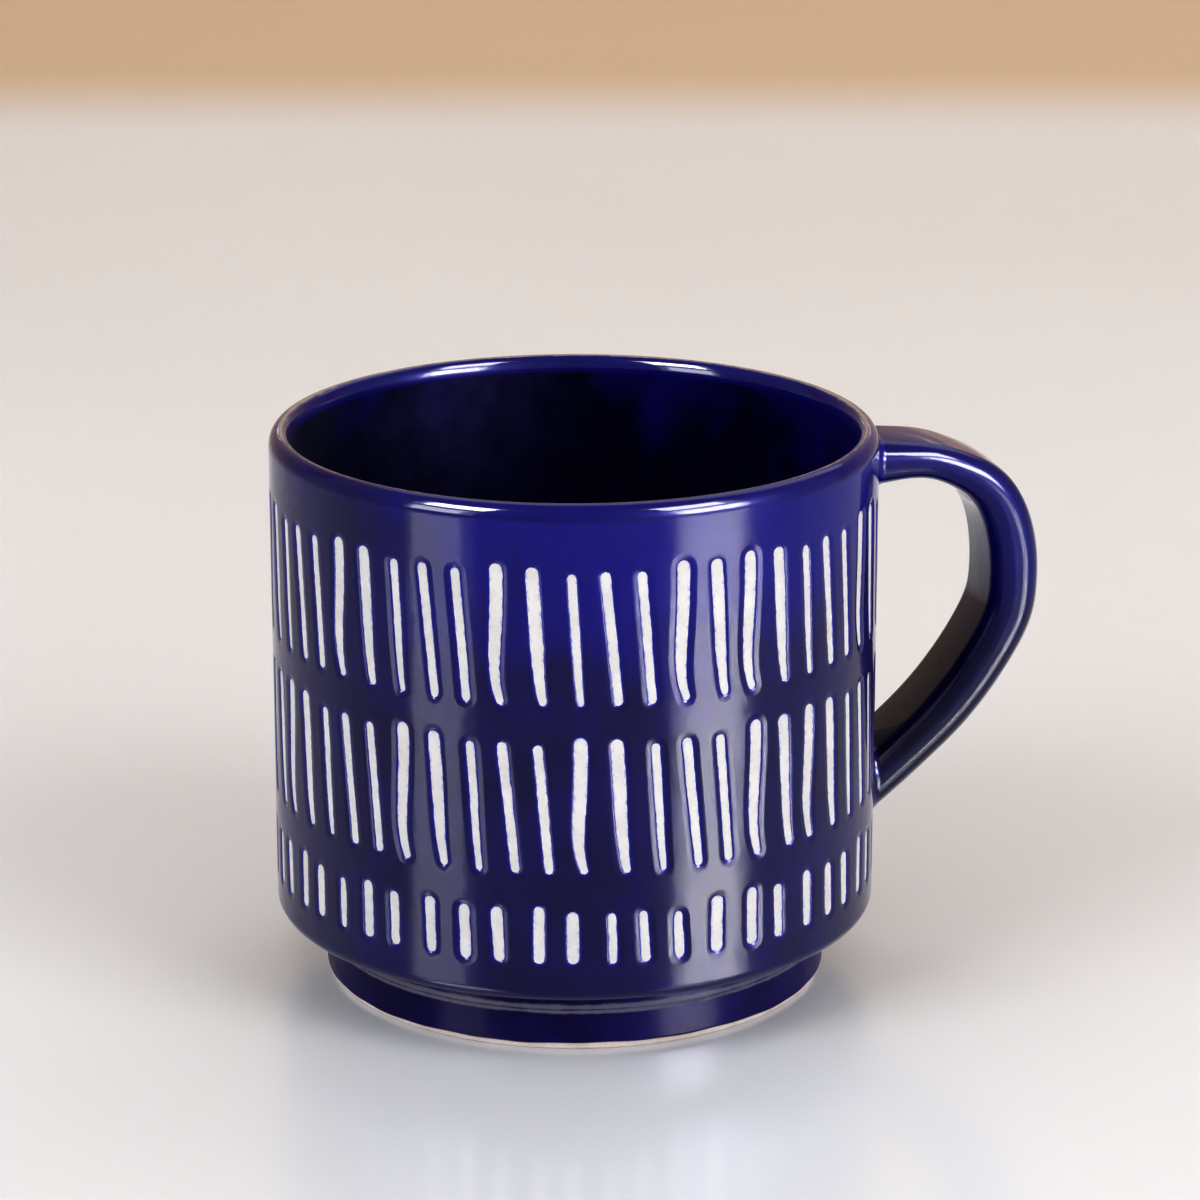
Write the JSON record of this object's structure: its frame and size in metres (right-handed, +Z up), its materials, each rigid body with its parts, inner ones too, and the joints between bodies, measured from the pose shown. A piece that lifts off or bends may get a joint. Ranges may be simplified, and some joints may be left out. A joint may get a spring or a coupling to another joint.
{
  "type": "stacking mug",
  "caption": "Straight-walled glazed ceramic mug with a strap handle, a stepped stacking foot, and three rows of short inlaid strokes round the wall.",
  "frame": {"origin": "centre of the foot, on the surface that the mug stands on", "axes": "+Z up through the mouth, +X towards the handle"},
  "size_m": [0.1131, 0.088, 0.082],
  "materials": {
    "bare_clay": "matt, fine-grained",
    "cobalt_glaze": "glossy",
    "inside_cobalt_glaze": "glossy",
    "thin_lip_glaze": "glossy, breaking to tan",
    "foot_cobalt_glaze": "satin",
    "white_slip": "matt"
  },
  "bodies": {
    "root": {"cup_body": "bare_clay", "handle": "bare_clay", "upper_handle_joint": "cobalt_glaze", "lower_handle_joint": "cobalt_glaze", "inside_glaze": "inside_cobalt_glaze", "outside_glaze": "cobalt_glaze", "lip_glaze": "thin_lip_glaze", "foot_glaze": "foot_cobalt_glaze", "base_glaze": "foot_cobalt_glaze", "handle_glaze": "cobalt_glaze", "upper_strokes": "white_slip", "middle_strokes": "white_slip", "lower_strokes": "white_slip"}
  },
  "joints": []
}
